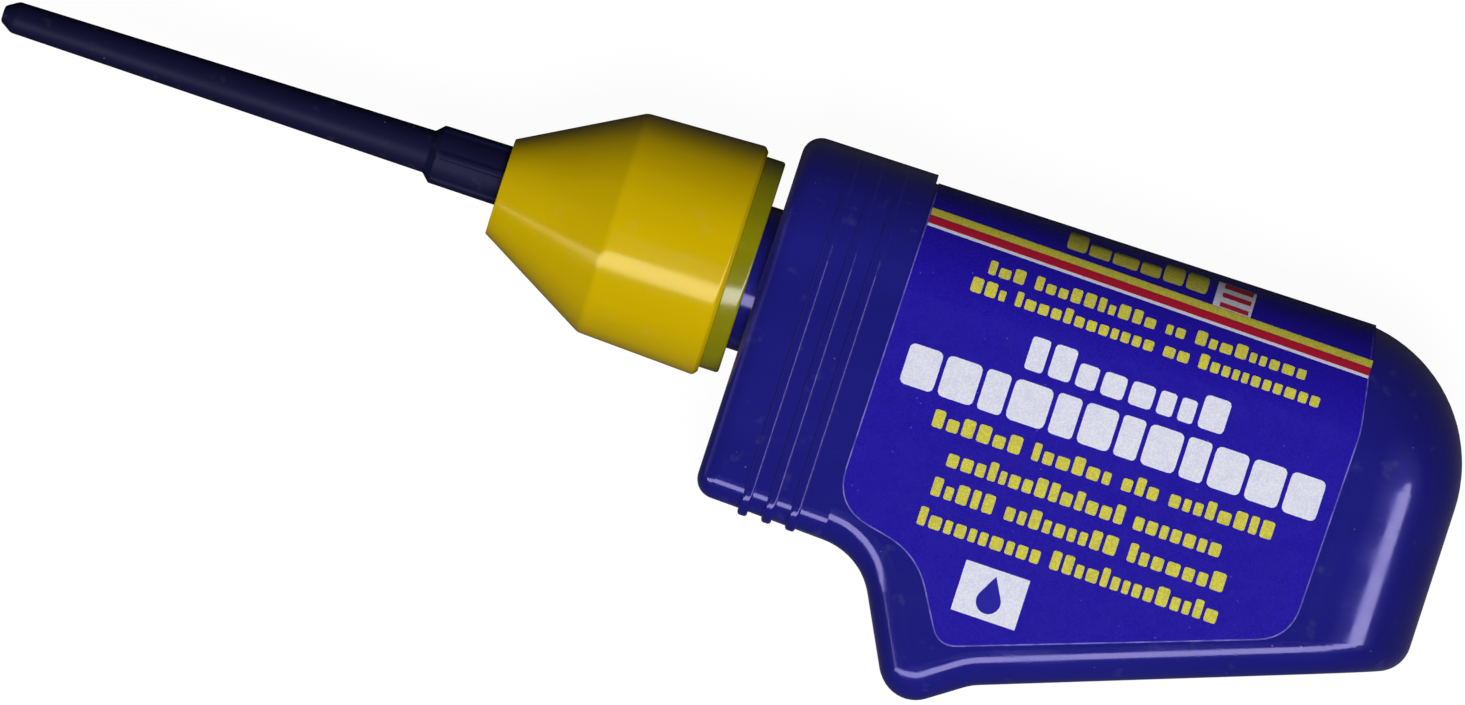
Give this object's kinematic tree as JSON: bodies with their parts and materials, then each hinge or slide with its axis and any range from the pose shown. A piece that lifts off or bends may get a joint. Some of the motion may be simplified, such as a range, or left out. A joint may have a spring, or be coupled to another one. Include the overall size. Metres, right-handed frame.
{
  "type": "glue applicator bottle",
  "caption": "Flat wedge-shaped squeeze bottle for liquid plastic cement, with a screw closure, a conical shroud and a thin needle under a pull-off sheath.",
  "frame": {"origin": "under the middle of the whole object, on the surface it lies on, with the needle sheath on", "axes": "+X from the needle's tip to the base end, +Y to the spine (the long straight edge), +Z out of the front label face"},
  "size_m": [0.1534, 0.0508, 0.024],
  "materials": {
    "bottle_blue": "semi-gloss blow-moulded polyolefin, faint flow marks",
    "label_blue": "satin printed film with a fine print grain",
    "cement_clear": null,
    "plug_natural": "natural polyethylene",
    "liner_foam": "soft closed-cell foam sheet",
    "closure_olive": "semi-gloss injection-moulded plastic",
    "cone_yellow": "gloss injection-moulded plastic",
    "hub_navy": "satin injection-moulded plastic",
    "needle_steel": "drawn stainless tube",
    "sheath_navy": "satin injection-moulded plastic"
  },
  "bodies": {
    "bottle": {"bottle_shell": "bottle_blue", "wrap_label": "label_blue", "liquid_cement": "cement_clear", "neck_plug": "plug_natural"},
    "closure_travel": {"sealing_liner": "liner_foam"},
    "closure": {"screw_closure": "closure_olive", "cone_shroud": "cone_yellow", "needle_hub": "hub_navy", "needle_tube": "needle_steel"},
    "sheath": {"needle_sheath": "sheath_navy"}
  },
  "joints": [
    {"name": "closure_lift", "type": "slide", "parent": "bottle", "child": "closure_travel", "axis": [-1, 0, 0], "range_m": [0, 0.00375]},
    {"name": "closure_turn", "type": "hinge", "parent": "closure_travel", "child": "closure", "pos_m": [0, 0.0108, 0.012], "axis": [-1, 0, 0], "range_deg": [0, 450]},
    {"name": "sheath_pull", "type": "slide", "parent": "closure", "child": "sheath", "axis": [-1, 0, 0], "range_m": [0, 0.058]}
  ],
  "couplings": [
    {"joint": "closure_turn", "follows": "closure_lift", "rad_per_m": 2094.4}
  ]
}
